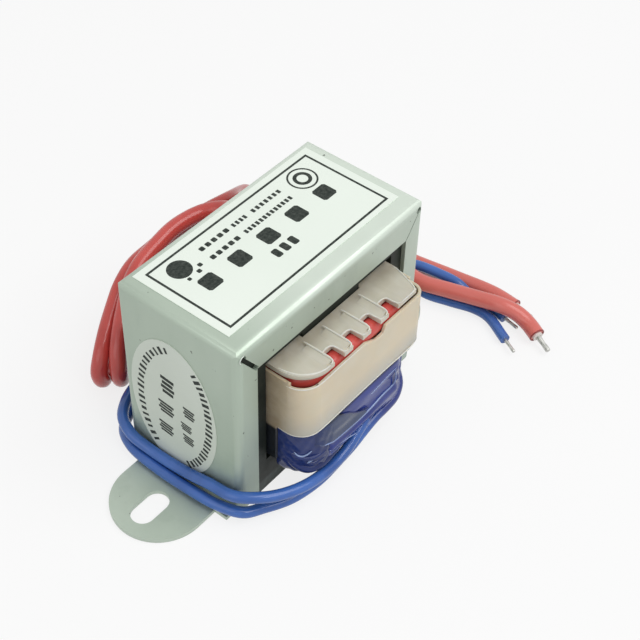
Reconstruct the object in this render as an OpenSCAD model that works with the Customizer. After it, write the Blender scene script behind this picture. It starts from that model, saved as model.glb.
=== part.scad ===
// Laminated chassis transformer: an EI core and its coil in a folded steel channel frame.
// X runs along the frame and its feet, -Y is the front, Z is up.
// The origin is on the mounting plane, under the middle of the frame.

/* [Core] */
// Length of the core, along X
core_len = 41; // [36:1:48]
// Width of the centre limb as a share of the core's length
limb_share = 0.3171; // [0.28:0.001:0.36]
// Width of each side limb as a share of the core's length
side_share = 0.1463; // [0.12:0.001:0.16]
// Height of the core, yoke to yoke
core_h = 34; // [31:0.5:40]
// Height of each yoke
yoke_h = 6.5; // [5:0.5:8]
// Number of lamination layers in the stack
layers = 42; // [30:2:50]
// Thickness of one lamination
lam_t = 0.5; // [0.35:0.05:0.5]
// Varnish between two layers
lam_film = 0.005; // [0.005:0.005:0.02]

/* [Frame] */
// Thickness of the frame's sheet
sheet_t = 0.7; // [0.5:0.1:1]
// Outside radius of the frame's bends
bend_r = 1.3; // [1.2:0.1:2]
// Clearance between the core and the frame's sides
core_fit = 0.05; // [0.02:0.01:0.2]
// How far the top flange hangs over the core's face
top_flange_h = 5.5; // [4:0.5:6]
// Width of the flange on each leg
leg_flange_w = 4.2; // [3:0.1:5]
// Width of the open mitre between the flanges at the -X end
mitre_gap = 0.7; // [0.2:0.1:1]
// Width of the closed mitre at the +X end
mitre_line = 0.2; // [0.1:0.1:1]
// Radius of the relief hole at each folded corner
relief_r = 0.6; // [0.4:0.1:0.9]
// Height of the core's underside above the mounting plane
core_lift = 0.25; // [0.1:0.05:0.6]
// Distance between the centres of the two mounting slots
slot_pitch = 58; // [56:0.5:66]
// Width of a foot's tongue
foot_w = 15.4; // [12:0.2:18]
// Reach of the full-width shoulder beyond the leg
shoulder = 1.8; // [1.5:0.1:3]
// Distance from a slot's centre to the end of its foot
slot_to_end = 5.5; // [5:0.1:7]
// Width of a mounting slot
slot_w = 3.9; // [3:0.1:4.5]
// Length of a mounting slot, end to end
slot_len = 6.8; // [5:0.1:8]

/* [Coil] */
// Wall of the bobbin's tube
bobbin_t = 0.8; // [0.6:0.1:1.2]
// Clearance between the centre limb and the bobbin
limb_fit = 0.15; // [0.05:0.05:0.3]
// Clearance between the bobbin's side and the core's side limbs
window_fit = 0.3; // [0.2:0.05:0.6]
// Clearance under the upper yoke
flange_drop = 0.75; // [0.4:0.05:1]
// Clearance above the lower yoke
bobbin_foot = 0.3; // [0.1:0.05:0.6]
// Thickness of the bobbin's flanges
flange_t = 0.8; // [0.6:0.1:1.2]
// How far the coil stands proud of the core's face
coil_reach = 7; // [6:0.1:9]
// Wall of the coil cover
cover_t = 0.5; // [0.4:0.1:0.8]
// Clearance between the cover and the flanges it slips over
cover_fit = 0.05; // [0.02:0.01:0.2]
// Height of the lower section of the bobbin
lower_h = 7.5; // [7.4:0.1:8.5]
// Radius of the cover's left corners
cover_left_r = 3.5; // [2:0.1:4]
// Radius of the cover's right corners
cover_right_r = 2; // [1.5:0.1:3.5]
// Distance from the cover's rim down from the top flange's underside
rim_drop = 0.75; // [0.4:0.05:1.2]
// How far the low rim reaches round the cover's corners
rim_corner = 3; // [2:0.5:5]
// Depth of the dip in the front rim
rim_dip = 1.3; // [0.5:0.1:2]
// Number of lead slots on each end of the top flange
lead_slots = 4; // [2:1:5]
// Distance between two lead slots
slot_step = 4.2; // [4:0.1:4.6]
// Width of a lead slot
lead_slot_w = 2.3; // [1.6:0.1:2.6]
// Depth of a lead slot
lead_slot_d = 2.4; // [1.5:0.1:3]
// Height of the ridges that guide the leads
ridge_h = 0.4; // [0.2:0.1:0.6]
// Thickness of the tape round a winding
tape_t = 0.3; // [0.1:0.05:0.4]
// Clearance between a winding, its tape and the leads on it
wrap_fit = 0.05; // [0.02:0.01:0.1]

/* [Leads] */
// Outside diameter of a primary lead
blue_d = 1.8; // [1.4:0.1:1.8]
// Outside diameter of a secondary lead
red_d = 2.8; // [2.2:0.1:2.8]
// Outside diameter of the white inner layer of a secondary lead
red_liner_d = 1.8; // [1.6:0.1:1.9]
// Diameter of the tinned strands of a primary lead
blue_core_d = 0.6; // [0.4:0.1:0.8]
// Diameter of the tinned strands of a secondary lead
red_core_d = 0.9; // [0.6:0.1:1.2]
// Length of the bared strands
bare_len = 3.2; // [2:0.2:6]
// Number of primary lead turns laid round the lower section
blue_turns = 4; // [3:1:4]

/* [Labels] */
// Length of the label on top
label_l = 38; // [30:0.5:39]
// Width of the label on top
label_w = 18; // [12:0.5:19]
// Thickness of a label
label_t = 0.1; // [0.05:0.05:0.2]
// Height of the oval label on the end wall
oval_h = 27; // [20:0.5:27]
// Height of the oval label's centre above the mounting plane
oval_z = 15.5; // [15:0.5:17]
// Width of the oval label on the end wall
oval_w = 16.8; // [12:0.2:18]

/* [Hidden] */
$fn = 48;
eps = 0.01;
// Longer than any piece, for cuts that run right through
through = 60;

// Heights
stack_t = layers * (lam_t + lam_film);
core_top = core_lift + core_h;
frame_top = core_top + sheet_t;
window_low = core_lift + yoke_h;
window_high = core_top - yoke_h;
bobbin_low = window_low + bobbin_foot;
bobbin_high = window_high - flange_drop;
flange_under = bobbin_high - flange_t;
lower_floor = bobbin_low + flange_t;
mid_low = lower_floor + lower_h;
mid_high = mid_low + flange_t;
rim_z = flange_under - rim_drop;

// Half sizes, from the middle of the frame
half_core = core_len / 2;
half_stack = stack_t / 2;
half_limb = core_len * limb_share / 2;
window_out = half_core - core_len * side_share;
half_len = half_core + core_fit + sheet_t;
half_dep = half_stack + core_fit + sheet_t;
tube_in_x = half_limb + limb_fit;
tube_in_y = half_stack + limb_fit;
tube_x = tube_in_x + bobbin_t;
tube_y = tube_in_y + bobbin_t;
cover_x = window_out - window_fit;
cover_y = half_stack + coil_reach;
flange_x = cover_x - cover_t - cover_fit;
flange_y = cover_y - cover_t - cover_fit;
roof_y = cover_y - 0.3;
roof_back_y = flange_y - 0.4;
lower_flange_y = flange_y - 2.5;
cheek_y = half_dep + 0.9;
leg_in = half_core + core_fit;

// Centre lines of the leads laid round the coil, and the windings under them
blue_r = blue_d / 2;
red_r = red_d / 2;
blue_x = flange_x - blue_r - wrap_fit;
blue_y = flange_y - blue_r + 0.4;
red_x = flange_x - red_r - wrap_fit;
red_y = flange_y - red_r - wrap_fit;
primary_x = blue_x - blue_r - wrap_fit;
primary_y = blue_y - blue_r - wrap_fit;
secondary_x = red_x - red_r - wrap_fit;
secondary_y = red_y - red_r - wrap_fit;
turn_r = 5;
red_turn_r = 3.6;
// Where the two secondary leads start on the front, beside the soldered ends
red_starts = [8.5, 2];
blue_top_z = mid_low - wrap_fit - blue_r;
red_top_z = flange_under - wrap_fit - red_r;

// Routes of the four free leads, by hand; the first points carry on from the coil
blue_low_z = blue_top_z - (blue_turns - 1) * (blue_d + 0.02);
blue_from_a = [[1.5, -blue_y - 0.4, blue_low_z - 2], [-1.2, -blue_y - 0.65, blue_low_z - 3.55]];
blue_from_b = [[blue_x - 0.4, 2 - blue_y, blue_low_z - 1.9], [blue_x - 1.3, 0.75 - blue_y, blue_low_z - 3.25]];
red_from_a = [[6, red_y, red_top_z], [8, red_y, red_top_z]];
red_from_b = [[2, red_y, red_top_z - red_d - 0.02], [4.5, red_y, red_top_z - red_d - 0.02]];
blue_route_a = concat(blue_from_a, [
    [-4.4, -17.4, 4], [-9, -17.5, 4], [-13.5, -17.1, 4.7],
    [-17.4, -15.7, 5.3], [-20, -13.9, 5.7], [-22.2, -11, 5.8], [-22.4, -6, 5],
    [-22.3, -0.5, 3.6], [-22.4, 6, 3.4], [-22.5, 9.9, 4.2], [-21.4, 12.7, 4.9],
    [-18.8, 14.7, 4.9], [-15, 16.4, 4.1], [-10.5, 17.7, 2.6], [-5, 18.3, 1.2],
    [2, 18.4, 0.9], [12, 18.2, 0.9], [22, 16.6, 0.9], [30.5, 12.2, 0.9], [35.7, 7.2, 1],
    [37.2, 2.5, 2.3], [37.9, -1, 3.1], [38.6, -4.8, 3], [39, -8.4, 2.7], [39.1, -11.6, 1.4],
    [39.5, -15, 0.9], [38.8, -18.6, 0.9]
]);
blue_route_b = concat(blue_from_b, [
    [9.3, -16.7, 5], [6.8, -16.9, 4.8], [4, -16.9, 4.7], [1, -16.8, 3.7],
    [-1.4, -16.8, 2.9], [-4.6, -16.7, 2.2], [-9.5, -16.6, 1.7],
    [-14.5, -15.5, 1.4], [-18.6, -13.6, 1.6], [-21.6, -12.1, 2.2], [-23, -8.5, 2.3],
    [-23.4, -3, 2], [-23.4, 4, 1.7], [-22.9, 9.6, 1.8], [-20.7, 13.5, 1.3],
    [-16.5, 15.6, 0.9], [-10, 16.1, 0.9], [0, 16.1, 0.9], [10, 15.9, 0.9], [19.5, 14.4, 0.9],
    [27.5, 11.4, 0.9], [33.2, 7, 0.9], [35.8, 1.2, 0.9], [34.9, -4.6, 0.9], [36, -9, 0.9],
    [37.3, -13.4, 0.9], [37.2, -16.3, 0.9], [34.6, -21.5, 0.9]
]);
red_route_a = concat(red_from_a, [
    [12.8, 16.9, 24.3], [16.2, 20, 22.2], [17, 23.8, 18.4], [14, 27, 15.7], [8.5, 28.6, 14.6],
    [2.5, 28.5, 14.4], [-2.4, 28.2, 14.1], [-5.8, 27.6, 12.7], [-9, 26.4, 10.9],
    [-12.7, 24.5, 9.4], [-15.6, 22.9, 7.6], [-17, 22.4, 4.8], [-16.1, 22.8, 2.1],
    [-13, 24.8, 1.4], [-8.5, 27.6, 1.4], [-2, 30, 1.4], [8, 31.4, 1.4], [18, 29.6, 1.4],
    [27.5, 24.4, 1.4], [34.5, 16.8, 1.4], [38.4, 8.5, 1.4], [39.8, 0, 1.4], [41, -7, 1.4],
    [42, -14, 1.4], [41.7, -18.8, 1.4]
]);
red_route_b = concat(red_from_b, [
    [9.2, 16.2, 21.7], [12.6, 18.9, 20.8], [13.8, 22.2, 19.1], [11.6, 25.4, 18], [6.5, 26.6, 17.7],
    [1.5, 26.5, 16.9], [-2.9, 26, 16], [-6.3, 25, 14.6], [-9, 23.6, 13],
    [-12, 21.9, 11], [-14.3, 20.4, 8.8], [-15.4, 19.5, 6], [-14.6, 20.1, 2.9],
    [-11.6, 22.3, 1.4], [-7.5, 24.4, 1.4], [-1, 26, 1.4], [7, 26.4, 1.4], [15.5, 25, 1.4],
    [23, 21.4, 1.6], [28.2, 16.9, 2.9], [31.6, 11.8, 3.7], [33.9, 6.4, 3.4],
    [35, 1, 3.3], [34.6, -3.7, 3.3], [36, -8.5, 3.3], [37.6, -13.5, 3.3],
    [38.6, -17.6, 3.5], [39.3, -20.6, 2.9], [39.2, -23, 2.1], [38.3, -25.4, 1.6]
]);

// ---------------------------------------------------------------- 2D profiles

// Rectangle of half sizes x and y whose corners are arcs of radius r
module round_rect(x, y, r) {
    square([2 * x, 2 * (y - r)], center = true);
    square([2 * (x - r), 2 * y], center = true);
    for (sx = [-1, 1], sy = [-1, 1]) translate([sx * (x - r), sy * (y - r)]) circle(r);
}

// Upright outline of half width x and height z, with both top corners rounded
module arch(x, z, r) {
    translate([-x, 0]) square([2 * x, z - r]);
    translate([-x + r, 0]) square([2 * (x - r), z]);
    for (s = [-1, 1]) translate([s * (x - r), z - r]) circle(r);
}

// Places a profile drawn in X and Z, extruded between two values of Y
module along_y(y0, y1) {
    translate([0, y1, 0]) rotate([90, 0, 0]) linear_extrude(y1 - y0) children();
}

// Places a profile drawn in Y and Z, extruded between two values of X
module along_x(x0, x1) {
    translate([x0, 0, 0]) rotate([90, 0, 90]) linear_extrude(x1 - x0) children();
}

// Places a profile drawn in X and Y between two heights
module along_z(z0, z1) {
    translate([0, 0, z0]) linear_extrude(z1 - z0) children();
}

// ---------------------------------------------------------------- frame

// Block with the folded channel's edges rounded to r, inset by the given amount
module channel_block(inset, r) {
    x = half_len - inset;
    y = half_dep - inset;
    z = frame_top - inset;
    intersection() {
        along_y(-y, y) arch(x, z, r);
        along_x(-x, x) arch(y, z, r);
        along_z(0, z) round_rect(x, y, r);
    }
}

// Outline of the opening that the flanges leave on the front and back
module flange_opening() {
    x = half_len - leg_flange_w;
    z = frame_top - top_flange_h;
    translate([-x, -eps]) square([2 * x, z + eps]);
}

// Slit along the mitre between the top flange and one leg's flange
module mitre_slit(gap) {
    x0 = half_len - 1;
    z0 = frame_top - 1.1;
    x1 = half_len - leg_flange_w - eps;
    z1 = frame_top - top_flange_h - eps;
    run = [x1 - x0, z1 - z0];
    side = [-run[1], run[0]] * gap / 2 / norm(run);
    polygon([[x0, z0] + side, [x1, z1] + side, [x1, z1] - side, [x0, z0] - side]);
    translate([x0 - 0.35, z0 - 0.35]) circle(relief_r);
}

// Outline of one foot seen from above, on the +X side
module foot_outline() {
    end = slot_pitch / 2 + slot_to_end;
    r = foot_w / 2;
    translate([leg_in, -half_dep + bend_r]) square([sheet_t + shoulder, 2 * (half_dep - bend_r)]);
    translate([leg_in, -r]) square([end - r - leg_in, 2 * r]);
    translate([end - r, 0]) circle(r);
}

// Rounded end of a mounting slot to the other, along X
module slot_outline() {
    run = (slot_len - slot_w) / 2;
    square([2 * run, slot_w], center = true);
    for (s = [-1, 1]) translate([s * run, 0]) circle(slot_w / 2);
}

// Bend between one leg and its foot
module foot_bend() {
    r_in = bend_r - sheet_t;
    translate([leg_in + bend_r, bend_r]) difference() {
        circle(bend_r);
        circle(r_in);
        translate([-2 * bend_r, 0]) square(4 * bend_r);
        translate([0, -2 * bend_r]) square(4 * bend_r);
    }
}

module foot() {
    difference() {
        along_z(0, sheet_t) foot_outline();
        translate([0, 0, -eps]) cube([leg_in + bend_r, half_dep, 1]);
        translate([0, -half_dep, -eps]) cube([leg_in + bend_r, half_dep, 1]);
        translate([slot_pitch / 2, 0, -eps]) linear_extrude(1) slot_outline();
    }
    along_y(-half_dep + bend_r, half_dep - bend_r) foot_bend();
}

module frame() {
    color([0.70, 0.75, 0.71]) {
        difference() {
            channel_block(0, bend_r);
            channel_block(sheet_t, core_fit);
            along_y(-half_dep - 1, half_dep + 1) flange_opening();
            for (s = [0, 1]) mirror([s, 0, 0]) {
                along_y(-half_dep - 1, half_dep + 1) mitre_slit(s == 1 ? mitre_gap : mitre_line);
            }
            translate([0, 0, -eps])
                cube([4 * half_len, 4 * half_dep, 2 * (bend_r + eps)], center = true);
        }
        for (s = [0, 1]) mirror([s, 0, 0]) foot();
    }
}

// ---------------------------------------------------------------- core

// One E sheet, its back yoke at the bottom
module e_outline() {
    difference() {
        translate([-half_core, 0]) square([core_len, core_h - yoke_h]);
        for (s = [0, 1]) mirror([s, 0]) {
            translate([half_limb, yoke_h]) square([window_out - half_limb, core_h]);
        }
    }
}

// One I sheet, lying on its long edge
module i_outline() {
    translate([-half_core, 0]) square([core_len, yoke_h]);
}

// Every second layer of the stack, from the first one given
module layer_stack(first) {
    step = lam_t + lam_film;
    for (i = [first : 2 : layers - 1]) {
        y0 = -half_stack + i * step + lam_film / 2;
        along_y(y0, y0 + lam_t) children();
    }
}

module upright_e_sheets() {
    color([0.16, 0.17, 0.16]) translate([0, 0, core_lift]) layer_stack(0) e_outline();
}

module inverted_e_sheets() {
    color([0.19, 0.20, 0.19]) translate([0, 0, core_top]) mirror([0, 0, 1])
        layer_stack(1) e_outline();
}

module lower_i_sheets() {
    color([0.22, 0.23, 0.22]) translate([0, 0, core_lift]) layer_stack(1) i_outline();
}

module upper_i_sheets() {
    color([0.22, 0.23, 0.22]) translate([0, 0, core_top - yoke_h]) layer_stack(0) i_outline();
}

// ---------------------------------------------------------------- bobbin and cover

// Positions of the lead slots, from the middle
function slot_xs() = [for (i = [0 : lead_slots - 1]) (i - (lead_slots - 1) / 2) * slot_step];

// Outline of the top flange: round at its left corners, cut off at its right ones
module roof_outline() {
    r = 5;
    cut = 1.8;
    difference() {
        intersection() {
            translate([-flange_x, -roof_y]) square([2 * flange_x, roof_y + roof_back_y]);
            translate([r, 0]) round_rect(flange_x + r, roof_y, r);
        }
        for (s = [0, 1]) mirror([0, s]) polygon([
            [flange_x, roof_y - r], [flange_x + 1, roof_y - r],
            [flange_x + 1, roof_y + 1], [flange_x - cut, roof_y + 1], [flange_x - cut, roof_y]
        ]);
    }
}

// Ridge that rises across a finger to the edge of the next slot, at one end
module finger_ridge(x) {
    x1 = x - lead_slot_w / 2;
    along_y(-roof_y + 0.4, -tube_y - 0.8)
        polygon([[x1 - 1.6, bobbin_high - eps], [x1, bobbin_high - eps], [x1, bobbin_high + ridge_h]]);
}

module bobbin() {
    color([0.84, 0.80, 0.71]) difference() {
        union() {
            along_z(bobbin_low, bobbin_high) square([2 * tube_x, 2 * tube_y], center = true);
            along_z(flange_under, bobbin_high) roof_outline();
            along_z(mid_low, mid_high) round_rect(flange_x, flange_y, 3);
            along_z(bobbin_low, lower_floor) round_rect(flange_x, lower_flange_y, 4);
            for (x = slot_xs()) finger_ridge(x);
        }
        along_z(bobbin_low - 1, bobbin_high + 1)
            square([2 * tube_in_x, 2 * tube_in_y], center = true);
        for (x = slot_xs(), y = [-roof_y, roof_back_y]) translate([x, y, flange_under - 1])
            linear_extrude(flange_t + 2) square([lead_slot_w, 2 * lead_slot_d], center = true);
        // Notch in the lower flange's right corner, for the lead that leaves there
        translate([blue_x - blue_d, -through - half_dep - blue_r, bobbin_low - 1])
            cube([through, through, flange_t + 1 + eps]);
    }
}

// Outline of the cover or of its inside: its left corners are rounder than its right ones
module cover_outline(inset) {
    x = cover_x - inset;
    y = cover_y - inset;
    intersection() {
        translate([y, 0]) round_rect(x + y, y, cover_left_r - inset);
        translate([-y, 0]) round_rect(x + y, y, cover_right_r - inset);
    }
}

// The cover is a band round both sections with tall cheeks inside the windows
module coil_cover() {
    low = lower_floor;
    high = flange_under - 0.1;
    band_low = mid_low - 0.1;
    rim_back_y = cover_y - rim_corner;
    color([0.86, 0.82, 0.72]) difference() {
        along_z(low, high) cover_outline(0);
        along_z(low - 1, high + 1) cover_outline(cover_t);
        for (s = [0, 1]) mirror([0, s, 0]) {
            // Below the band only the cheeks remain
            translate([-through / 2, cheek_y, low - 1]) cube([through, through, band_low - low + 1]);
            // The rim is lower across each end than over the cheeks
            translate([-through / 2, rim_back_y, rim_z]) cube([through, through, through]);
        }
        // Front: the rim dips where the lead crosses it
        along_y(-through, -rim_back_y) polygon([
            [-0.5, high + 1], [-0.5, rim_z], [2, rim_z - rim_dip], [3.6, rim_z - rim_dip],
            [4.2, rim_z], [4.2, high + 1]
        ]);
        // Back: open at its right corner for the secondary leads
        translate([1, rim_back_y, red_top_z - 2 * red_d]) cube(through);
    }
}

// ---------------------------------------------------------------- windings

// Ring round the bobbin's tube, between two heights and two outlines
module coil_ring(z0, z1, x, y, r, t) {
    difference() {
        along_z(z0, z1) round_rect(x, y, r);
        along_z(z0 - 1, z1 + 1) round_rect(x - t, y - t, r - t);
    }
}

// A winding fills the space from the tube out to the given outline
module winding(z0, z1, x, y, r) {
    difference() {
        along_z(z0, z1) round_rect(x, y, r);
        along_z(z0 - 1, z1 + 1)
            square([2 * (tube_x + wrap_fit), 2 * (tube_y + wrap_fit)], center = true);
    }
}

module primary_winding() {
    color([0.72, 0.40, 0.20]) winding(lower_floor + wrap_fit, mid_low - wrap_fit,
        primary_x - tape_t - wrap_fit, primary_y - tape_t - wrap_fit,
        turn_r - blue_r - tape_t - 2 * wrap_fit);
}

module primary_tape() {
    color([0.25, 0.35, 0.70]) coil_ring(lower_floor + wrap_fit, mid_low - wrap_fit,
        primary_x, primary_y, turn_r - blue_r - wrap_fit, tape_t);
}

module secondary_winding() {
    color([0.74, 0.42, 0.21]) winding(mid_high + wrap_fit, flange_under - wrap_fit,
        secondary_x - tape_t - wrap_fit, secondary_y - tape_t - wrap_fit, red_turn_r - 1.6);
}

module secondary_tape() {
    color([0.86, 0.80, 0.62]) coil_ring(mid_high + wrap_fit, flange_under - wrap_fit,
        secondary_x, secondary_y, red_turn_r - 1.2, tape_t);
}

// Straight run of a lead along X at y, from x0 to x1
module run_x(x0, x1, y, z, r) {
    translate([x0, y, z]) rotate([0, 90, 0]) cylinder(r = r, h = x1 - x0);
}

// Straight run of a lead along Y at x, centred
module run_y(x, half, z, r) {
    translate([x, half, z]) rotate([90, 0, 0]) cylinder(r = r, h = 2 * half);
}

// Quarter turn of a lead round the corner on the side sx, sy
module corner_turn(x, y, z, bend, r, sx, sy) {
    start = sx > 0 ? (sy > 0 ? 0 : 270) : (sy > 0 ? 90 : 180);
    translate([sx * (x - bend), sy * (y - bend), z]) rotate([0, 0, start])
        rotate_extrude(angle = 90) translate([bend, 0]) circle(r, $fn = 24);
}

// Closed turn of a lead round the coil
module full_turn(x, y, z, bend, r) {
    for (s = [-1, 1]) {
        run_x(-x + bend, x - bend, s * y, z, r);
        run_y(s * x, y - bend, z, r);
        for (t = [-1, 1]) corner_turn(x, y, z, bend, r, s, t);
    }
}

// Turn that starts at x0 on the front and passes the left side to x1 on the back
module left_turn(x, y, z, bend, r, x0, x1) {
    run_x(-x + bend, x0, -y, z, r);
    corner_turn(x, y, z, bend, r, -1, -1);
    run_y(-x, y - bend, z, r);
    corner_turn(x, y, z, bend, r, -1, 1);
    run_x(-x + bend, x1, y, z, r);
}

module primary_lead_turns() {
    color([0.16, 0.27, 0.62]) {
        for (i = [0 : blue_turns - 1])
            full_turn(blue_x, blue_y, blue_top_z - i * (blue_d + 0.02), turn_r, blue_r);
        // The two leads leave the lowest turn
        before_start(blue_route_a, 4.5, blue_r);
        before_start(blue_route_b, 2.4, blue_r);
    }
}

module secondary_lead_turns() {
    color([0.74, 0.20, 0.17]) {
        left_turn(red_x, red_y, red_top_z, red_turn_r, red_r, red_starts[0], red_from_a[0][0]);
        left_turn(red_x, red_y, red_top_z - red_d - 0.02, red_turn_r, red_r, red_starts[1],
            red_from_b[0][0]);
    }
}

// Soldered ends of the windings, lying on the secondary's tape beside the leads
module winding_ends() {
    color([0.78, 0.78, 0.76]) for (i = [0, 1]) {
        z = red_top_z - i * (red_d + 0.02);
        run_x(red_starts[i], red_starts[i] + 2.4, -red_y, z, red_core_d / 2);
    }
}

// ---------------------------------------------------------------- labels

module top_label() {
    color([0.95, 0.97, 0.95]) translate([-label_l / 2, -label_w / 2 + 0.97, frame_top])
        cube([label_l, label_w, label_t]);
}

module end_label() {
    points = [for (a = [0 : 7.5 : 352.5]) [oval_w / 2 * cos(a) + 1.3, oval_h / 2 * sin(a)]];
    color([0.78, 0.80, 0.78]) translate([0, 0, oval_z])
        along_x(-half_len - label_t, -half_len) polygon(points);
}

// ---------------------------------------------------------------- free leads

function unit(v) = v / norm(v);
function tangent(p, i) = unit(p[min(i + 1, len(p) - 1)] - p[max(i - 1, 0)]);
// Side vector at each point, carried along the route without twist
function carried(v, t) = unit(v - t * (v * t));
function sides(p, i, v) = let (s = carried(v, tangent(p, i)))
    i == len(p) - 1 ? [s] : concat([s], sides(p, i + 1, s));
function ring(c, t, s, r, n) = let (u = cross(t, s))
    [for (k = [0 : n - 1]) c + r * (cos(360 * k / n) * s + sin(360 * k / n) * u)];

// Tube of n sides along a route
module lead(p, r, n = 8) {
    s = sides(p, 0, [0, 0, 1]);
    rings = [for (i = [0 : len(p) - 1]) ring(p[i], tangent(p, i), s[i], r, n)];
    points = [for (g = rings) each g];
    last = (len(p) - 1) * n;
    walls = [for (i = [0 : len(p) - 2], k = [0 : n - 1]) let (a = i * n + k, b = i * n + (k + 1) % n)
        each [[a, a + n, b], [b, a + n, b + n]]];
    caps = [[for (k = [0 : n - 1]) k], [for (k = [n - 1 : -1 : 0]) last + k]];
    polyhedron(points, concat(walls, caps), convexity = 10);
}

// Cylinder that carries on from the end of a route
module from_end(p, start, length, r) {
    n = len(p) - 1;
    t = tangent(p, n);
    turn = atan2(t[1], t[0]);
    lean = acos(t[2]);
    translate(p[n] + t * start) rotate([0, lean, turn]) cylinder(r = r, h = length);
}

// Cylinder that leads up to the start of a route
module before_start(p, length, r) {
    t = tangent(p, 0);
    turn = atan2(-t[1], -t[0]);
    translate(p[0]) rotate([0, acos(-t[2]), turn]) cylinder(r = r, h = length, $fn = 24);
}

module blue_lead_a() { color([0.16, 0.30, 0.72]) lead(blue_route_a, blue_r); }
module blue_lead_b() { color([0.16, 0.30, 0.72]) lead(blue_route_b, blue_r); }
module red_lead_a() { color([0.80, 0.24, 0.20]) lead(red_route_a, red_r); }
module red_lead_b() { color([0.80, 0.24, 0.20]) lead(red_route_b, red_r); }

module blue_strands_a() {
    color([0.75, 0.75, 0.73]) from_end(blue_route_a, 0, bare_len, blue_core_d / 2);
}

module blue_strands_b() {
    color([0.75, 0.75, 0.73]) from_end(blue_route_b, 0, bare_len, blue_core_d / 2);
}

module red_liners() {
    color([0.92, 0.90, 0.88]) for (p = [red_route_a, red_route_b]) from_end(p, 0, 0.4, red_liner_d / 2);
}

module red_strands_a() {
    color([0.75, 0.75, 0.73]) from_end(red_route_a, 0.4, bare_len, red_core_d / 2);
}

module red_strands_b() {
    color([0.75, 0.75, 0.73]) from_end(red_route_b, 0.4, bare_len, red_core_d / 2);
}

frame();
upright_e_sheets();
inverted_e_sheets();
lower_i_sheets();
upper_i_sheets();
bobbin();
coil_cover();
primary_winding();
secondary_winding();
primary_tape();
secondary_tape();
primary_lead_turns();
secondary_lead_turns();
winding_ends();
top_label();
end_label();
blue_lead_a();
blue_lead_b();
red_lead_a();
red_lead_b();
blue_strands_a();
blue_strands_b();
red_liners();
red_strands_a();
red_strands_b();
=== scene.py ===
import math

import bmesh
import bpy
from mathutils import Matrix, Vector


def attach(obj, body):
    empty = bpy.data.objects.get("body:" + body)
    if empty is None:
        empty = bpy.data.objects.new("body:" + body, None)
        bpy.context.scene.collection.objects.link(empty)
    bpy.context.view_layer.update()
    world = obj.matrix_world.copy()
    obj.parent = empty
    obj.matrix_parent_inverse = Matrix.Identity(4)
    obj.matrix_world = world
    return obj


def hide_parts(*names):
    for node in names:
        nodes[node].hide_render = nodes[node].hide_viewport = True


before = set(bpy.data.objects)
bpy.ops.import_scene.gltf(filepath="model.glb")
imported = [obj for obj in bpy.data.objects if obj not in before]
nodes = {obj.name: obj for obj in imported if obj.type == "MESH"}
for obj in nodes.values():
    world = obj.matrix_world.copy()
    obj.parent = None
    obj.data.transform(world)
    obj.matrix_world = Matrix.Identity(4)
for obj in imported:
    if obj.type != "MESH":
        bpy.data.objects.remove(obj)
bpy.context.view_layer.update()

MM = 0.001
scene = bpy.context.scene

# ------------------------------------------------------------------ camera

CAMERA_AT = Vector((-112.757, -95.783, 168.68)) * MM
CAMERA_AHEAD = Vector((0.55517, 0.42890, -0.71263)).normalized()
CAMERA_RIGHT = Vector((0.62938, -0.77676, 0.02282))


def set_camera():
    """The camera at the photograph's viewing angle."""
    cam = bpy.data.cameras.new("camera")
    cam.sensor_fit = "HORIZONTAL"
    cam.sensor_width = 36
    cam.lens = 77.72
    cam.clip_start = 0.01
    cam.clip_end = 10
    obj = bpy.data.objects.new("camera", cam)
    scene.collection.objects.link(obj)
    right = (CAMERA_RIGHT - CAMERA_AHEAD * CAMERA_RIGHT.dot(CAMERA_AHEAD)).normalized()
    up = right.cross(CAMERA_AHEAD)
    turn = Matrix((right, up, -CAMERA_AHEAD)).transposed().to_4x4()
    obj.matrix_world = Matrix.Translation(CAMERA_AT) @ turn
    scene.camera = obj


set_camera()

# ------------------------------------------------------------------ mesh helpers

FULL_TURN = 2 * math.pi


def add_mesh(name, verts, faces, smooth=True, sharp_deg=None):
    """A new object from points in millimetres."""
    mesh = bpy.data.meshes.new(name)
    mesh.from_pydata([tuple(c * MM for c in v) for v in verts], [], faces)
    mesh.validate()
    mesh.update()
    obj = bpy.data.objects.new(name, mesh)
    scene.collection.objects.link(obj)
    bm = bmesh.new()
    bm.from_mesh(mesh)
    bmesh.ops.remove_doubles(bm, verts=bm.verts, dist=1e-7)
    bmesh.ops.recalc_face_normals(bm, faces=bm.faces)
    for f in bm.faces:
        f.smooth = smooth
    if sharp_deg is not None:
        for e in bm.edges:
            if len(e.link_faces) == 2 and e.calc_face_angle() > math.radians(sharp_deg):
                e.smooth = False
    bm.to_mesh(mesh)
    bm.free()
    return obj


def steps(a, b, n):
    """n even steps from a to b."""
    return [a + (b - a) * i / n for i in range(n + 1)]


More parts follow.
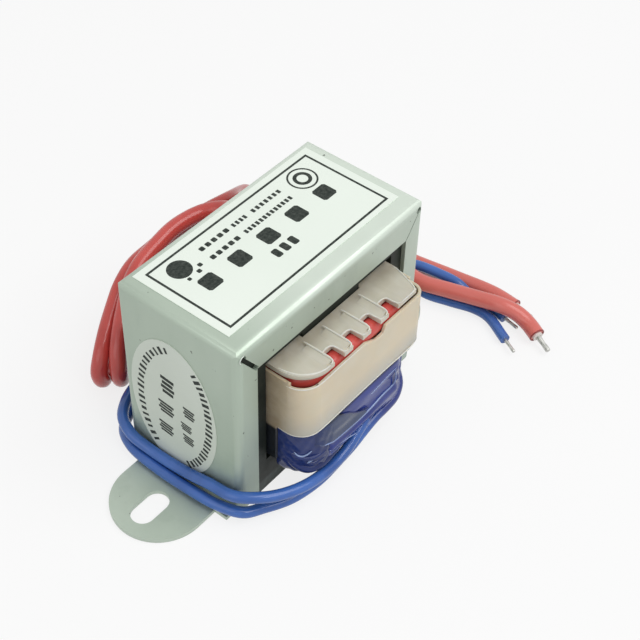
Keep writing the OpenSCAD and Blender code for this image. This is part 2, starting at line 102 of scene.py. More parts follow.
def catmull(points, step):
    """Points about step apart on a smooth curve through the given ones."""
    pts = [Vector(p) for p in points]
    ends = [pts[0] * 2 - pts[1]] + pts + [pts[-1] * 2 - pts[-2]]
    out = []
    for i in range(1, len(ends) - 2):
        p0, p1, p2, p3 = ends[i - 1:i + 3]
        t0 = 0.0
        t1 = t0 + (p1 - p0).length ** 0.5
        t2 = t1 + (p2 - p1).length ** 0.5
        t3 = t2 + (p3 - p2).length ** 0.5
        n = max(2, round((p2 - p1).length / step))
        for k in range(n):
            t = t1 + (t2 - t1) * k / n
            a1 = p0 * ((t1 - t) / (t1 - t0)) + p1 * ((t - t0) / (t1 - t0))
            a2 = p1 * ((t2 - t) / (t2 - t1)) + p2 * ((t - t1) / (t2 - t1))
            a3 = p2 * ((t3 - t) / (t3 - t2)) + p3 * ((t - t2) / (t3 - t2))
            b1 = a1 * ((t2 - t) / (t2 - t0)) + a2 * ((t - t0) / (t2 - t0))
            b2 = a2 * ((t3 - t) / (t3 - t1)) + a3 * ((t - t1) / (t3 - t1))
            out.append(b1 * ((t2 - t) / (t2 - t1)) + b2 * ((t - t1) / (t2 - t1)))
    out.append(pts[-1])
    return out


def frames(path):
    """(point, side, up) along a path, carried without twist."""
    n = len(path)
    tangents = [(path[min(i + 1, n - 1)] - path[max(i - 1, 0)]).normalized() for i in range(n)]
    first = tangents[0].cross(Vector((0, 0, 1)))
    if first.length < 0.1:
        first = tangents[0].cross(Vector((1, 0, 0)))
    side = first.normalized()
    out = []
    for p, t in zip(path, tangents):
        side = (side - t * side.dot(t)).normalized()
        out.append((p, side, t.cross(side)))
    return out


def tubes(name, runs, sides):
    """One object of closed tubes.

    Each run is (path, radius, shape); shape(share, angle), if there is one, scales the radius
    at a share of the path's length and an angle round it.
    """
    verts, faces = [], []
    for path, radius, shape in runs:
        rings, base = frames(path), len(verts)
        n = len(rings)
        for i, (p, s, u) in enumerate(rings):
            for k in range(sides):
                a = FULL_TURN * k / sides
                r = radius * (shape(i / (n - 1), a) if shape else 1)
                verts.append(p + (s * math.cos(a) + u * math.sin(a)) * r)
        for i in range(n - 1):
            for k in range(sides):
                m = (k + 1) % sides
                faces.append((base + i * sides + k, base + i * sides + m,
                              base + (i + 1) * sides + m, base + (i + 1) * sides + k))
        faces.append(tuple(range(base, base + sides)))
        faces.append(tuple(range(base + (n - 1) * sides, base + n * sides))[::-1])
    return add_mesh(name, verts, faces, sharp_deg=40)


def tube(name, path, radius, sides, shape=None):
    return tubes(name, [(path, radius, shape)], sides)


def taper(share, angle):
    """Thin at both ends of a strand or a welt, and round at every angle."""
    return 0.3 + 0.7 * math.sin(math.pi * share) ** 0.4


def dress(obj, finish, node=None):
    """Give a piece its finish and body, and hide the CAD node that it replaces, if any."""
    finish.put(obj)
    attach(obj, "root")
    if node:
        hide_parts(node)
    return obj


def welts(name, runs, step, sides, finish):
    """One piece of tapered round welts; each run is (points, radius)."""
    paths = [(catmull(points, step), radius, taper) for points, radius in runs]
    dress(tubes(name, paths, sides), finish)


# ------------------------------------------------------------------ shader helpers


def calc(tree, operation, a, b):
    """A math node on two sockets."""
    m = tree.nodes.new("ShaderNodeMath")
    m.operation = operation
    tree.links.new(a, m.inputs[0])
    tree.links.new(b, m.inputs[1])
    return m.outputs[0]


class Shader:
    """A Principled material, with short calls for the nodes that the finishes share.

    The colour and roughness given at the start are the plain values behind those nodes.
    """

    def __init__(self, name, colour, rough, metal=0.0, **sockets):
        self.mat = bpy.data.materials.new(name)
        self.mat.use_nodes = True
        self.tree = self.mat.node_tree
        self.bsdf = self.tree.nodes["Principled BSDF"]
        self.bsdf.inputs["Base Color"].default_value = (*colour, 1)
        self.bsdf.inputs["Roughness"].default_value = rough
        self.bsdf.inputs["Metallic"].default_value = metal
        for key, value in sockets.items():
            self.bsdf.inputs[key.replace("_", " ")].default_value = value
        self.place = self.node("ShaderNodeTexCoord").outputs["Object"]
        self.normal = None

    def node(self, kind, **values):
        n = self.tree.nodes.new(kind)
        for key, value in values.items():
            setattr(n, key, value)
        return n

    def link(self, a, b):
        self.tree.links.new(a, b)

    def stretch(self, scale):
        """Coordinates stretched by a scale for each axis."""
        m = self.node("ShaderNodeMapping")
        m.inputs["Scale"].default_value = scale
        self.link(self.place, m.inputs["Vector"])
        return m.outputs["Vector"]

    def noise(self, scale, detail=4, rough=0.55, where=None):
        n = self.node("ShaderNodeTexNoise")
        n.inputs["Scale"].default_value = scale
        n.inputs["Detail"].default_value = detail
        n.inputs["Roughness"].default_value = rough
        self.link(where or self.place, n.inputs["Vector"])
        return n.outputs["Fac"]

    def ramp(self, fac, stops):
        """Colours at (place, colour) stops."""
        r = self.node("ShaderNodeValToRGB")
        while len(r.color_ramp.elements) < len(stops):
            r.color_ramp.elements.new(0.5)
        for e, (at, colour) in zip(r.color_ramp.elements, stops):
            e.position = at
            e.color = (*colour, 1)
        self.link(fac, r.inputs["Fac"])
        return r.outputs["Color"]

    def spread(self, fac, low, high, start=0.3, end=0.7):
        """Maps start..end of fac to low..high."""
        m = self.node("ShaderNodeMapRange")
        for key, value in (("From Min", start), ("From Max", end), ("To Min", low),
                           ("To Max", high)):
            m.inputs[key].default_value = value
        self.link(fac, m.inputs["Value"])
        return m.outputs["Result"]

    def across(self, axis, start, end, low, high):
        """low up to start millimetres along an axis, and high from end millimetres on."""
        split = self.node("ShaderNodeSeparateXYZ")
        self.link(self.place, split.inputs[0])
        return self.spread(split.outputs[axis], low, high, start * MM, end * MM)

    def times(self, a, b):
        return calc(self.tree, "MULTIPLY", a, b)

    def mix(self, share, a, b):
        """Colour a gives way to b, a socket or a plain colour, by a share."""
        m = self.node("ShaderNodeMix", data_type="RGBA")
        self.link(share, m.inputs["Factor"])
        self.link(a, m.inputs[6])
        if isinstance(b, tuple):
            m.inputs[7].default_value = (*b, 1)
        else:
            self.link(b, m.inputs[7])
        return m.outputs[2]

    def bump(self, height, strength, distance):
        b = self.node("ShaderNodeBump")
        b.inputs["Strength"].default_value = strength
        b.inputs["Distance"].default_value = distance
        self.link(height, b.inputs["Height"])
        if self.normal:
            self.link(self.normal, b.inputs["Normal"])
        self.normal = b.outputs["Normal"]
        self.link(self.normal, self.bsdf.inputs["Normal"])

    def colour(self, socket):
        self.link(socket, self.bsdf.inputs["Base Color"])

    def rough(self, socket):
        self.link(socket, self.bsdf.inputs["Roughness"])

    def put(self, obj):
        obj.data.materials.clear()
        obj.data.materials.append(self.mat)


# ------------------------------------------------------------------ materials


def zinc_steel():
    """Passivated zinc: cloudy tint, faint stains, a few dark pits, and painted light and shade.
    """
    s = Shader("zinc_steel", (0.48, 0.55, 0.475), 0.36, 0.55)
    tint = s.ramp(s.noise(38, 5, 0.6), [
        (0.3, (0.45, 0.52, 0.45)), (0.55, (0.51, 0.585, 0.505)), (0.8, (0.57, 0.63, 0.56))])
    # Painted shade: darker and duller towards the left end.
    left = s.times(s.across("X", -21.2, 2, 0.72, 0), s.across("Z", 1, 3, 0.35, 1))
    tint = s.mix(left, tint, (0.395, 0.475, 0.39))
    stains = s.spread(s.noise(120, 5, 0.7, s.stretch((1, 1, 0.5))), 0, 0.35, 0.52, 0.68)
    tint = s.mix(stains, tint, (0.36, 0.43, 0.36))
    # Painted reflection: darker blotches low on the walls, kept off the feet.
    low_reflection_blotches = s.spread(s.noise(140, 4, 0.6), 0, 0.6, 0.42, 0.6)
    low = s.times(s.across("Z", 1.2, 16, 1, 0), low_reflection_blotches)
    above_feet = s.across("Z", 0.9, 1.3, 0, 1)
    tint = s.mix(s.times(low, above_feet), tint, (0.29, 0.36, 0.31))
    lit = s.times(s.across("Z", 33.5, 34.5, 0, 0.8), s.across("X", -19, -4, 0, 1))
    tint = s.mix(lit, tint, (0.66, 0.73, 0.65))
    pits = s.spread(s.noise(1100, 1, 0.4), 0, 0.8, 0.772, 0.786)
    s.colour(s.mix(pits, tint, (0.12, 0.13, 0.11)))
    s.rough(s.spread(s.noise(160, 4, 0.6, s.stretch((1, 1, 0.25))), 0.40, 0.56))
    s.bump(s.noise(900, 3, 0.6), 0.12, 0.00005)
    s.bump(s.noise(70, 2, 0.4), 0.25, 0.0002)
    return s


def varnished_core():
    """Dark varnish over the sheets' edges, worn to grey along the bottom."""
    s = Shader("varnished_core", (0.02, 0.025, 0.02), 0.42, 0.1, Specular_IOR_Level=0.15)
    lines = s.noise(900, 2, 0.5, s.stretch((0.15, 1, 0.15)))
    dark = s.ramp(lines, [(0.3, (0.010, 0.014, 0.011)), (0.6, (0.022, 0.027, 0.022)),
                          (0.85, (0.055, 0.06, 0.052))])
    worn = s.ramp(s.noise(500, 3), [(0.3, (0.05, 0.062, 0.055)), (0.7, (0.10, 0.12, 0.11))])
    s.colour(s.mix(s.across("Z", 2.2, 2.8, 1, 0), dark, worn))
    s.rough(s.spread(s.noise(240, 4), 0.34, 0.6))
    s.bump(s.noise(1200, 3), 0.3, 0.00005)
    return s


def nylon(name, low, high, shade=None):
    """Milky moulded nylon; shade(s, tint), if given, adds its tone changes and painted shade."""
    s = Shader(name, high, 0.38, Subsurface_Weight=0.2,
               Subsurface_Radius=(0.004, 0.0028, 0.0016), Subsurface_Scale=0.4)
    tint = s.ramp(s.noise(60, 3), [(0.3, low), (0.7, high)])
    s.colour(shade(s, tint) if shade else tint)
    s.rough(s.spread(s.noise(300, 3), 0.30, 0.48))
    s.bump(s.noise(350, 3), 0.12, 0.0001)
    return s


def cover_shade(s, tint):
    """Clouds; painted reflection of the blue turns low down; painted shade at left and in the
    window.
    """
    cloud = s.spread(s.noise(160, 3, 0.6), 0, 0.35, 0.45, 0.75)
    tint = s.mix(cloud, tint, (0.60, 0.59, 0.50))
    # Painted reflection of the blue turns: greyer towards the bottom.
    tint = s.mix(s.across("Z", 15.0, 19.5, 0.62, 0), tint, (0.34, 0.38, 0.39))
    # Painted shade: brown and blotchy on the left side where it runs into the window.
    left = s.times(s.across("X", -13.9, -11.8, 1, 0), s.across("Y", -17.0, -12.5, 0, 1))
    left_side_shade = s.times(left, s.spread(s.noise(260, 4, 0.65), 0.6, 1.0, 0.35, 0.65))
    tint = s.mix(left_side_shade, tint, (0.34, 0.265, 0.175))
    # Painted shade: near black deep in the window.
    window_shade = s.times(s.across("Z", 14.6, 15.2, 1, 0), s.across("Y", -13.6, -12.2, 0, 1))
    return s.mix(window_shade, tint, (0.012, 0.015, 0.02))


def roof_shade(s, tint):
    """Pale streaks, and painted shade where the flange runs into the window under the frame."""
    streak = s.spread(s.noise(420, 3, 0.6, s.stretch((1, 0.35, 1))), 0, 0.45, 0.4, 0.7)
    tint = s.mix(streak, tint, (0.66, 0.64, 0.57))
    # Painted shade where the flange runs in under the frame.
    under_frame_shade = s.spread(s.noise(180, 3), 0.4, 1.0, 0.35, 0.6)
    return s.mix(s.times(s.across("Y", -14.0, -11.5, 0, 0.6), under_frame_shade), tint, (0.22, 0.18, 0.12))


def enamelled_copper():
    s = Shader("enamelled_copper", (0.42, 0.14, 0.05), 0.3, 0.8)
    wires = s.node("ShaderNodeTexWave", bands_direction="Z")
    wires.inputs["Scale"].default_value = 1100
    s.link(s.place, wires.inputs["Vector"])
    s.colour(s.ramp(wires.outputs["Fac"], [(0, (0.20, 0.06, 0.02)), (1, (0.50, 0.20, 0.08))]))
    s.bump(wires.outputs["Fac"], 0.6, 0.0001)
    return s


def tape(name, low, high, rough, shine=0.5, left=None):
    """Glossy tape with a painted shadow under the cover's edge; left is its colour at the left
    corner.
    """
    s = Shader(name, high, rough, Specular_IOR_Level=shine)
    tint = s.ramp(s.noise(120, 3), [(0.3, low), (0.7, high)])
    if left:
        tint = s.mix(s.across("X", -11.5, -7.5, 1, 0), tint, left)
    # Painted shadow: near black just under the cover's lower edge.
    s.colour(s.mix(s.across("Z", 14.55, 15.15, 0, 0.9), tint, (0.004, 0.006, 0.014)))
    s.rough(s.spread(s.noise(200, 3), rough - 0.08, rough + 0.12))
    s.bump(s.noise(180, 3, 0.6), 0.35, 0.0002)
    return s


def pvc(name, low, high, rough, pale=None, coil_shade=None):
    """Glossy PVC; pale paints light on it far right, coil_shade paints shade by the coil's right
    corner.
    """
    s = Shader(name, high, rough)
    tint = s.ramp(s.noise(90, 4), [(0.3, low), (0.65, high)])
    if pale:
        # Painted light: paler far out to the right.
        tint = s.mix(s.across("X", 22, 36, 0, 0.8), tint, pale)
    if coil_shade:
        # Painted shade: darker in front of the coil near its right corner.
        near = s.times(s.across("X", 0, 6, 0, 1), s.across("X", 13.5, 16, 1, 0))
        tint = s.mix(s.times(near, s.across("Y", -14.2, -12.5, 1, 0)), tint, coil_shade)
    s.colour(tint)
    s.rough(s.spread(s.noise(260, 4, 0.6), rough - 0.05, rough + 0.10))
    s.bump(s.noise(420, 3, 0.55), 0.08, 0.0001)
    s.bump(s.noise(60, 2, 0.5), 0.35, 0.0003)
    return s


def tinned_copper():
    s = Shader("tinned_copper", (0.58, 0.58, 0.55), 0.32, 0.9)
    s.colour(s.ramp(s.noise(700, 4), [(0.3, (0.40, 0.40, 0.37)), (0.7, (0.68, 0.68, 0.65))]))
    s.rough(s.spread(s.noise(500, 3), 0.22, 0.5))
    s.bump(s.noise(900, 3), 0.3, 0.0001)
    return s


def satin(name, low, high, rough):
    """A pale satin surface with a fine grain."""
    s = Shader(name, high, rough)
    s.colour(s.ramp(s.noise(45, 3), [(0.3, low), (0.7, high)]))
    s.rough(s.spread(s.noise(150, 3), rough - 0.06, rough + 0.1))
    s.bump(s.noise(1500, 3, 0.7), 0.12, 0.00003)
    return s


def ink():
    s = Shader("ink", (0.03, 0.04, 0.035), 0.6, Specular_IOR_Level=0.1)
    s.colour(s.ramp(s.noise(1800, 3, 0.7), [
        (0.35, (0.022, 0.03, 0.026)), (0.75, (0.08, 0.09, 0.08))]))
    return s


ZINC = zinc_steel()
CORE = varnished_core()
COVER = nylon("cream_cover", (0.60, 0.52, 0.38), (0.68, 0.585, 0.43), cover_shade)
ROOF = nylon("cream_bobbin", (0.46, 0.43, 0.35), (0.60, 0.57, 0.47), roof_shade)
# A paler copy of the cream nylon: painted highlights on edges and rims.
CREAM_HIGHLIGHT = nylon("cream_edge_highlight", (0.66, 0.64, 0.56), (0.76, 0.74, 0.66))
COPPER = enamelled_copper()
BLUE_TAPE = tape("blue_tape", (0.012, 0.020, 0.085), (0.020, 0.036, 0.15), 0.14, 0.3)
FILM = tape("blue_film", (0.026, 0.042, 0.10), (0.050, 0.074, 0.155), 0.2, 0.3,
            left=(0.018, 0.031, 0.125))
BAND = tape("blue_band", (0.018, 0.030, 0.16), (0.032, 0.050, 0.26), 0.15, 0.3)
# Pale blue for the film's welts: painted highlights.
FILM_HIGHLIGHT = tape("film_edge_highlight", (0.14, 0.20, 0.42), (0.30, 0.39, 0.62), 0.15)
# The blue leads' PVC in a darker copy: painted shade on the turns round the coil.
SHADED_BLUE_TURNS = pvc("blue_turns", (0.010, 0.022, 0.12), (0.022, 0.042, 0.21), 0.26)
CREAM_TAPE = tape("cream_tape", (0.52, 0.44, 0.28), (0.62, 0.54, 0.36), 0.4)
BLUE = pvc("blue_pvc", (0.024, 0.082, 0.30), (0.052, 0.15, 0.48), 0.17,
           coil_shade=(0.018, 0.032, 0.19))
RED = pvc("red_pvc", (0.46, 0.05, 0.042), (0.64, 0.09, 0.075), 0.17, pale=(0.68, 0.17, 0.14))
RED_CUT = pvc("red_cut", (0.20, 0.012, 0.012), (0.30, 0.025, 0.02), 0.3)
TIN = tinned_copper()
PAPER = satin("white_label", (0.80, 0.87, 0.79), (0.84, 0.905, 0.83), 0.42)
SILVER = satin("silver_label", (0.60, 0.66, 0.58), (0.66, 0.72, 0.64), 0.45)
LINER = satin("white_pvc", (0.72, 0.66, 0.62), (0.82, 0.78, 0.74), 0.4)
INK = ink()
# Paler zinc: painted highlight on the burr.
BURR_HIGHLIGHT = satin("zinc_burr_highlight", (0.62, 0.68, 0.62), (0.78, 0.84, 0.78), 0.3)

NODE_FINISH = {
    "frame": ZINC, "upright_e_sheets": CORE, "inverted_e_sheets": CORE, "lower_i_sheets": CORE,
    "upper_i_sheets": CORE, "bobbin": ROOF, "coil_cover": COVER, "primary_winding": COPPER,
    "secondary_winding": COPPER, "primary_tape": BLUE_TAPE, "secondary_tape": CREAM_TAPE,
    "primary_lead_turns": SHADED_BLUE_TURNS, "secondary_lead_turns": RED, "winding_ends": TIN,
    "top_label": PAPER, "end_label": SILVER, "red_liners": LINER,
}
for key, finish in NODE_FINISH.items():
    finish.put(nodes[key])


def soften(node, width):
    """Small rounded edges on a CAD node, where its faces turn by more than 35 degrees."""
    weld = nodes[node].modifiers.new("weld", "WELD")
    weld.merge_threshold = 1e-6
    bevel = nodes[node].modifiers.new("bevel", "BEVEL")
    bevel.width = width * MM
    bevel.segments = 2
    bevel.limit_method = "ANGLE"
    bevel.angle_limit = math.radians(35)
    bevel.harden_normals = False


for key, width in (("frame", 0.1), ("coil_cover", 0.12), ("bobbin", 0.12)):
    soften(key, width)

# ------------------------------------------------------------------ print on the labels

# Corners of a printed circle, and how far ink stands off its label
CIRCLE_SIDES = 32
INK_THICK = 0.02


def rect(u, v, w, h, r=0.0, turn=0.0):
    """Outline of a rectangle of w by h, its corners cut by r, turned by an angle."""
    if r:
        pts = [(w / 2 - r, -h / 2), (w / 2, -h / 2 + r), (w / 2, h / 2 - r), (w / 2 - r, h / 2),
               (-w / 2 + r, h / 2), (-w / 2, h / 2 - r), (-w / 2, -h / 2 + r),
               (-w / 2 + r, -h / 2)]
    else:
        pts = [(w / 2, -h / 2), (w / 2, h / 2), (-w / 2, h / 2), (-w / 2, -h / 2)]
    c, s = math.cos(turn), math.sin(turn)
    return [(u + x * c - y * s, v + x * s + y * c) for x, y in pts]


def disc(u, v, r):
    """Outline of a disc."""
    angles = [FULL_TURN * k / CIRCLE_SIDES for k in range(CIRCLE_SIDES)]
    return [(u + r * math.cos(a), v + r * math.sin(a)) for a in angles]


def ring(u, v, r0, r1):
    """Four-sided outlines that make a flat ring."""
    pairs = list(zip(disc(u, v, r0), disc(u, v, r1)))
    return [[pairs[k - 1][0], pairs[k - 1][1], pairs[k][1], pairs[k][0]]
            for k in range(CIRCLE_SIDES)]


def decal(name, outlines, place):
    """Flat printed shapes; place(u, v, h) puts their points on a label, h above it."""
    verts, faces = [], []
    for line in outlines:
        k, n = len(verts), len(line)
        verts += [place(u, v, 0) for u, v in line] + [place(u, v, INK_THICK) for u, v in line]
        faces.append(tuple(range(k + n, k + 2 * n)))
        for i in range(n):
            j = (i + 1) % n
            faces.append((k + i, k + j, k + n + j, k + n + i))
    dress(add_mesh(name, verts, faces, smooth=False), INK)


def top_print():
    """Border, two round marks, five big marks and rows of small ones."""
    left, right, front, back, line = -17.45, 17.45, -7.9, 7.75, 0.38
    label_y, label_z = 0.93, 35.05
    shapes = [rect(0, y, right - left + line, line) for y in (front, back)]
    shapes += [rect(x, (front + back) / 2, line, back - front - line) for x in (left, right)]
    shapes.append(disc(-13.7, 5.0, 1.9))
    shapes += ring(12.9, 4.6, 2.15, 2.45) + ring(12.9, 4.6, 0.9, 1.5)
    shapes += [rect(x, 0.1, 2.9, 2.9, 0.35) for x in (-12.65, -6.45, -0.2, 6.15, 12.6)]
    # Rows of small marks: first x, step, count, y, width, height, cut of the corners
    for x, step, count, y, w, h, cut in (
            (-2.2, 1.8, 3, -3.2, 1.15, 1.75, 0.2),
            (-8.5, 1.28, 5, 5.5, 0.85, 0.85, 0.12),
            (-8.7, 1.28, 5, 3.15, 0.85, 0.85, 0.12),
            (-1.8, 0.82, 4, 5.45, 0.48, 0.8, 0),
            (2.5, 0.95, 7, 5.4, 0.55, 0.8, 0),
            (-1.6, 0.82, 13, 3.15, 0.5, 0.8, 0),
            (-11.1, 0, 1, 3.5, 0.7, 0.7, 0.1),
            (-12.1, 0, 1, 2.7, 0.7, 0.7, 0.1),
            (-14.2, 0, 1, 2.6, 0.6, 0.6, 0.1)):
        shapes += [rect(x + step * k, y, w, h, cut) for k in range(count)]
    decal("top_print", shapes, lambda u, v, h: (u, v + label_y, label_z + h))


def oval_print():
    """Two arcs of short marks along the oval's rim and two columns of marks inside it."""
    face_x, mid_y, mid_z, half_y, half_z = -21.35, 1.1, 15.5, 6.75, 12.1
    lean = math.radians(4.4)
    shapes = []

    def on_rim(a, w, h):
        y, z = half_y * math.cos(a), half_z * math.sin(a)
        outward = math.atan2(math.sin(a) / half_z, math.cos(a) / half_y)
        shapes.append(rect(mid_y + y * math.cos(lean) - z * math.sin(lean),
                           mid_z + y * math.sin(lean) + z * math.cos(lean),
                           w, h, turn=outward + lean))

    def arc(start, end, count, w, h):
        """Marks at even steps of length between two angles, in degrees."""
        fine = [math.radians(a) for a in steps(start, end, 400)]
        run = [0.0]
        for a, b in zip(fine, fine[1:]):
            run.append(run[-1] + math.hypot(half_y * (math.cos(b) - math.cos(a)),
                                            half_z * (math.sin(b) - math.sin(a))))
        for i in range(count):
            want = run[-1] * i / (count - 1)
            k = next(j for j, r in enumerate(run) if r >= want - 1e-9)
            on_rim(fine[k], w * (1 if i % 3 else 0.8), h * (1 if i % 2 else 0.72))

    arc(74, -58, 21, 1.3, 0.62)
    arc(121, 243, 23, 1.35, 0.62)
    # Blocks of four lines each: centre, width, height
    for y, z, w, h in ((2.2, 19.6, 2.6, 3.8), (2.8, 14.4, 3.0, 2.6), (3.1, 9.8, 2.8, 2.4),
                       (-1.8, 16.4, 2.2, 2.2), (-1.1, 12.9, 2.1, 1.7), (-1.4, 10.3, 2.1, 1.9)):
        shapes += [rect(y, z + h * (k - 1.5) / 4, w * (1 if k % 2 else 0.8), h * 0.17, turn=lean)
                   for k in range(4)]
    decal("oval_print", shapes, lambda u, v, h: (face_x - h, u, v))


top_print()
oval_print()

# ------------------------------------------------------------------ burr on the frame


def hole_burr():
    """A thin raised burr round the closed side of the relief hole at the left end, pale as a
    painted highlight.
    """
    hole_x, hole_z, face_y, reach = -19.9, 33.5, -11.36, 0.68
    rim = [(hole_x + reach * math.cos(a), face_y, hole_z + reach * math.sin(a))
           for a in map(math.radians, range(70, 250, 20))]
    welts("hole_burr", [(rim, 0.08)], 0.1, 8, BURR_HIGHLIGHT)


hole_burr()

# ------------------------------------------------------------------ film round the blue turns

# Centre of the right corner of the turns, and their outer radius there
ARC_X, ARC_Y, OUT_R = 7.7, -11.555, 5.9
STRAIGHT = 2 * ARC_X
# Height at which the sheets run in under the cover, and rows of points down a sheet
SEAM_Z = 15.3
ROWS = 40


def on_coil(run, out, z):
    """A point out millimetres beyond the turns, at a height.

    run counts degrees round the left corner, to 90, then millimetres along the front, then
    degrees round the right corner.
    """
    if 90 < run <= 90 + STRAIGHT:
        return (run - 90 - ARC_X, ARC_Y - OUT_R - out, z)
    a = math.radians(180 + run if run <= 90 else 180 + run - STRAIGHT)
    x = -ARC_X if run <= 90 else ARC_X
    return (x + (OUT_R + out) * math.cos(a), ARC_Y + (OUT_R + out) * math.sin(a), z)


def wrinkle(u, v):
    return (0.05 * math.sin(3.1 * u + 1.3 * v) * math.sin(1.7 * v + 0.6 * u)
            + 0.025 * math.sin(4.3 * u - 2.1 * v))


def along(table, at):
    """The value at a place in a table of (place, value) pairs, eased between them."""
    if at <= table[0][0]:
        return table[0][1]
    for (a, u), (b, v) in zip(table, table[1:]):
        if at <= b:
            t = (at - a) / (b - a)
            return u + (v - u) * t * t * (3 - 2 * t)
    return table[-1][1]


def sheet(name, runs, section, finish, reach=None):
    """A smooth wrinkled sheet round the coil.

    section(run) lists its (out, z) points from top to bottom, and reach(z), if given, is the
    share of the whole run that the sheet has at a height.
    """
    columns = []
    for run in runs:
        line = catmull([Vector((out, z, 0)) for out, z in section(run)], 0.25)
        column = []
        for i in range(ROWS + 1):
            out, z, _ = line[round(i * (len(line) - 1) / ROWS)]
            share = reach(z) if reach else 1
            calm = min(1, (SEAM_Z - z) * 0.6)
            column.append(on_coil(runs[0] + (run - runs[0]) * share,
                                  out + wrinkle(run * 0.1, z) * calm, z))
        columns.append(column)
    rows = ROWS + 1
    verts = [p for column in columns for p in column]
    faces = [(i * rows + k, i * rows + k + 1, (i + 1) * rows + k + 1, (i + 1) * rows + k)
             for i in range(len(columns) - 1) for k in range(ROWS)]
    dress(add_mesh(name, verts, faces, sharp_deg=70), finish)


# Height of the welt along the film's edge, by run
WELT = [(20, 11.9), (40, 11.7), (62, 11.4), (80, 10.8), (90, 10.4), (95, 9.9), (98, 9.9),
        (103, 10.5), (107, 10.6), (150, 11)]
# Height of the lower edge of the wrapped turns, by run
LOWER = [(5, 5.0), (45, 4.7), (75, 5.0), (88, 6.3), (94, 6.2), (99, 6.2), (103, 5.9),
         (106, 5.8), (120, 6.3), (150, 8.0), (170, 9.6)]


def wrap_section(run):
    """Tape round the left corner, tucked under the turns; it sinks under the band."""
    low, sink = along(LOWER, run), along([(80, 0), (93, 0.5)], run)
    return [(out - sink, z) for out, z in (
        (0.08, SEAM_Z), (0.2, 14.5), (0.24, 12.6), (0.22, 10.6), (0.28, 8.8), (0.2, 7.4),
        (0.0, low + 1.0), (-0.4, low + 0.35), (-1.0, low), (-1.8, low + 0.2), (-2.3, low + 0.9))]


def band_section(run):
    """Tape over the front, with a welt; it sinks into the turns at both ends."""
    low, welt = along(LOWER, run), along(WELT, run)
    sink = along([(78, 0.5), (90, 0), (108, 0), (128, 0.5)], run)
    return [(out - sink, z) for out, z in (
        (0.10, SEAM_Z), (0.24, 14.6), (0.34, 13.2), (0.22, welt + 1.2), (0.30, welt + 0.35),
        (0.42, welt), (0.24, welt - 0.5), (0.22, welt - 1.1), (0.42, (welt + low) / 2 + 0.1),
        (0.18, low + 1.1), (0.10, low + 0.6), (-0.25, low + 0.1), (-0.9, low + 0.05))]


def film_section(run):
    """Loose film over the band, down to its welt; it sinks under the wrap at the left."""
    low, sink = along(WELT, run) + 0.05, along([(52, 0.5), (66, 0)], run)
    return [(out - sink, z) for out, z in (
        (0.16, SEAM_Z), (0.34, 14.5), (0.44, 13.0), (0.40, 12.0), (0.46, low + 0.4),
        (0.50, low))]


def film_reach(z):
    """The film's right edge slants back towards the top."""
    return along([(10.2, 1), (10.9, 0.983), (11.9, 0.948), (13.9, 0.896), (SEAM_Z, 0.859)], z)


def film_run(out, points):
    """Points on the coil from (run, z) pairs."""
    return [on_coil(run, out, z) for run, z in points]


sheet("corner_wrap", steps(4, 93, 70), wrap_section, BLUE_TAPE)
sheet("front_band", steps(78, 130, 76), band_section, BAND)
sheet("loose_film", steps(52, 98, 60), film_section, FILM, film_reach)

# Painted highlights: pale welts along the film's edge and in streaks over the turns.
lip = [(run, along(WELT, run)) for run in (66, 76, 84, 90, 93, 96, 99, 102, 104.5)]
welts("film_highlight_welts", [
    (film_run(0.46, lip) + [(7.2, -18.05, 11.2), (7.5, -17.9, 12.2), (7.4, -17.8, 13.4)], 0.15),
    (film_run(0.34, [(99, 13.0), (101, 13.3), (103.5, 13.6), (105.4, 13.7)]), 0.09),
    (film_run(0.30, [(84, 8.6), (89, 8.4), (91.5, 8.2), (94, 7.5), (96, 6.7)]), 0.12),
    (film_run(0.36, [(31, 10.4), (36, 9.7), (42, 9.5), (48, 9.8), (55, 10.5)]), 0.13),
    (film_run(0.42, [(49, 7.9), (53, 8.3), (58, 8.8), (63, 8.9)]), 0.17),
], 0.3, 14, FILM_HIGHLIGHT)
# Dark tape: the first run is a painted shadow along the film's right edge; the rest are strands.
welts("strands_and_shade_welt", [
    (film_run(0.44, [(91.3, 15.2), (93.2, 13.9), (95.5, 12.0), (97.2, 11.0), (98.6, 10.5)]),
     0.16),
    ([(-13.0, -12.7, 9.4), (-12.75, -13.6, 8.0), (-12.1, -15.0, 6.6), (-11.1, -16.0, 5.9),
      (-9.2, -16.7, 5.9), (-6.0, -16.7, 6.2), (-3.0, -16.6, 6.9)], 0.85),
    ([(-13.1, -13.6, 10.4), (-12.9, -14.6, 9.6), (-12.2, -15.8, 9.0), (-11.0, -16.8, 8.9),
      (-9.4, -17.2, 9.1), (-7.0, -17.3, 9.3)], 0.42),
    ([(-12.0, -15.6, 7.9), (-11.2, -16.5, 7.5), (-10.0, -17.0, 7.6), (-8.4, -17.2, 8.0),
      (-6.2, -17.2, 8.0)], 0.38),
], 0.3, 14, BLUE_TAPE)

# ------------------------------------------------------------------ edges of bobbin and cover


